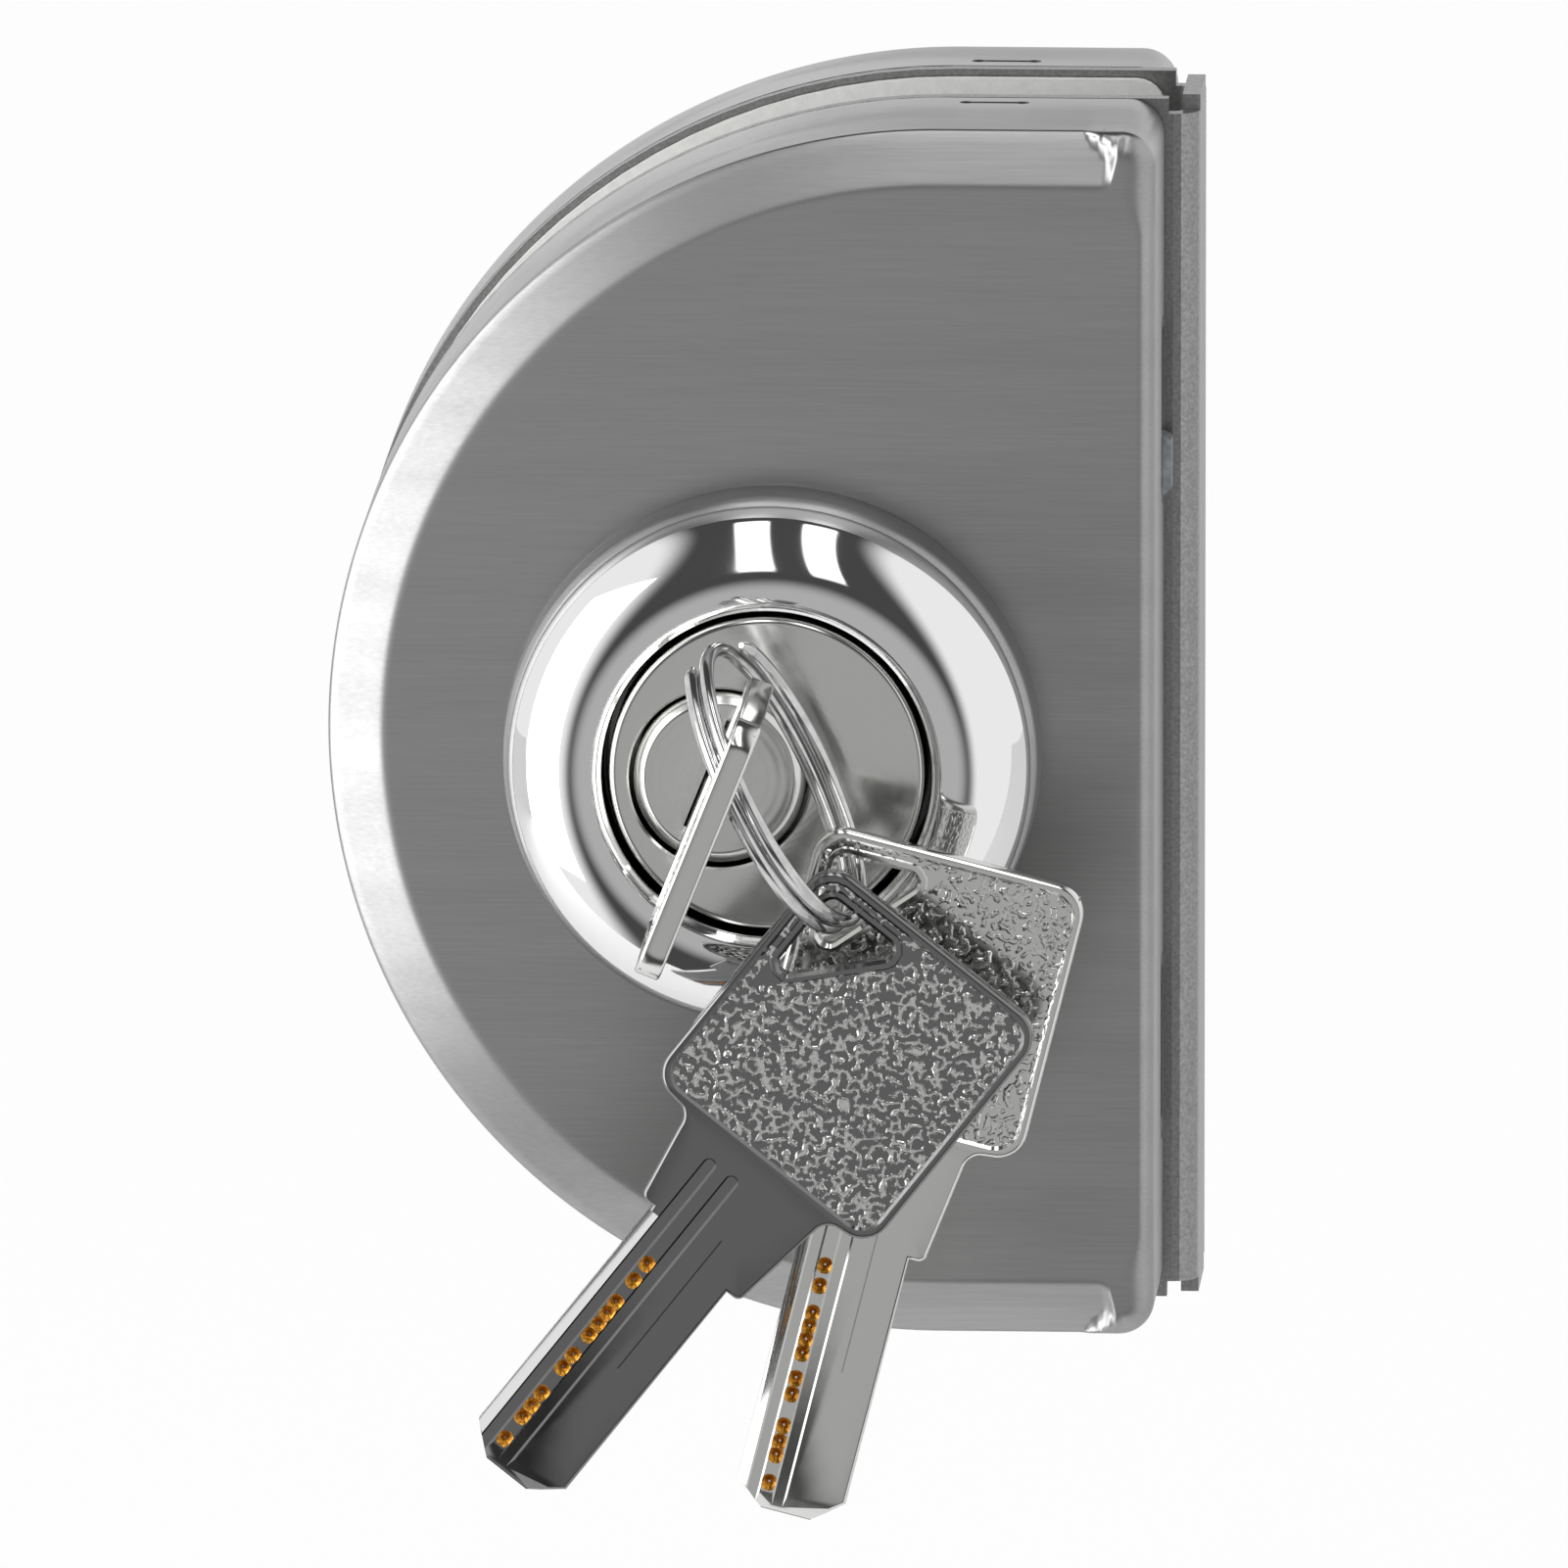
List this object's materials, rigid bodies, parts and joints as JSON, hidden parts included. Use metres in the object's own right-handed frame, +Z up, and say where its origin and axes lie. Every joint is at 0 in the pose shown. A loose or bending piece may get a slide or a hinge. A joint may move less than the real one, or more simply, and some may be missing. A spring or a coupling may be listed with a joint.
{
  "type": "sliding glass door lock",
  "caption": "Half-round steel patch lock that clamps over the edge of a sliding glass door, with a swinging hook bolt, domed key rose, key in the plug and two keys on a ring.",
  "frame": {"origin": "on the front face of the glass, where the front pad lies, on the centre line of the round side of the covers", "axes": "+X to the door's edge, where the hook comes out, +Y through the glass to the room side, +Z up"},
  "size_m": [0.0729, 0.0929, 0.1142],
  "materials": {
    "brushed_steel": "fine satin brushing",
    "bright_chrome": "mirror polished plating",
    "nickel_plate": "bright nickel plating",
    "plain_steel": "ground",
    "spring_steel": "polished wire and strip",
    "zinc_plate": "bright zinc plating",
    "clear_rubber": "matt"
  },
  "bodies": {
    "case": {"front_cover": "brushed_steel", "rear_cover": "brushed_steel", "clamp_frame": "brushed_steel", "front_gasket": "clear_rubber", "rear_gasket": "clear_rubber", "front_clip_top": "spring_steel", "front_clip_bottom": "spring_steel", "rear_clip_top": "spring_steel", "rear_clip_bottom": "spring_steel", "clamp_screw_1": "zinc_plate", "clamp_screw_2": "zinc_plate", "clamp_screw_3": "zinc_plate", "clamp_screw_4": "zinc_plate", "rose_collar": "brushed_steel", "rose_dome": "bright_chrome", "cylinder_body": "nickel_plate", "cylinder_nut": "plain_steel", "slide_rivet_lower": "zinc_plate", "slide_rivet_upper": "zinc_plate", "hook_pivot": "zinc_plate"},
    "plug": {"cylinder_plug": "nickel_plate", "drive_pinion": "plain_steel", "pinion_clip": "spring_steel"},
    "slide": {"rack_slide": "plain_steel"},
    "hook": {"hook_bolt": "plain_steel"},
    "turning_key": {"key_in_lock": "nickel_plate"},
    "ring": {"split_ring": "spring_steel"},
    "front_key": {"key_front": "nickel_plate"},
    "back_key": {"key_back": "nickel_plate"}
  },
  "joints": [
    {"name": "plug_turn", "type": "hinge", "parent": "case", "child": "plug", "pos_m": [-0.0178, -0.02, -0.0019], "axis": [0, 1, 0], "range_deg": [0, 88]},
    {"name": "slide_travel", "type": "slide", "parent": "case", "child": "slide", "axis": [0, 0, -1], "range_m": [0, 0.00922]},
    {"name": "hook_swing", "type": "hinge", "parent": "case", "child": "hook", "pos_m": [0.0129, -0.0063, 0.0326], "axis": [0, 1, 0], "range_deg": [-88, 0]},
    {"name": "key_pull", "type": "slide", "parent": "plug", "child": "turning_key", "axis": [0, -1, 0], "range_m": [0, 0.03]},
    {"name": "ring_swing", "type": "hinge", "parent": "turning_key", "child": "ring", "pos_m": [-0.01527, -0.06385, 0.00436], "axis": [0, 1, 0], "range_deg": [-25, 4]},
    {"name": "front_key_swing", "type": "hinge", "parent": "ring", "child": "front_key", "pos_m": [-0.0065, -0.0548, -0.01007], "axis": [0, 1, 0], "range_deg": [-40, 15]},
    {"name": "back_key_swing", "type": "hinge", "parent": "ring", "child": "back_key", "pos_m": [-0.00599, -0.04634, -0.00847], "axis": [0, 1, 0], "range_deg": [-40, 35]}
  ],
  "couplings": [
    {"joint": "slide_travel", "follows": "plug_turn", "m_per_rad": 0.006},
    {"joint": "hook_swing", "follows": "plug_turn", "ratio": -1}
  ]
}
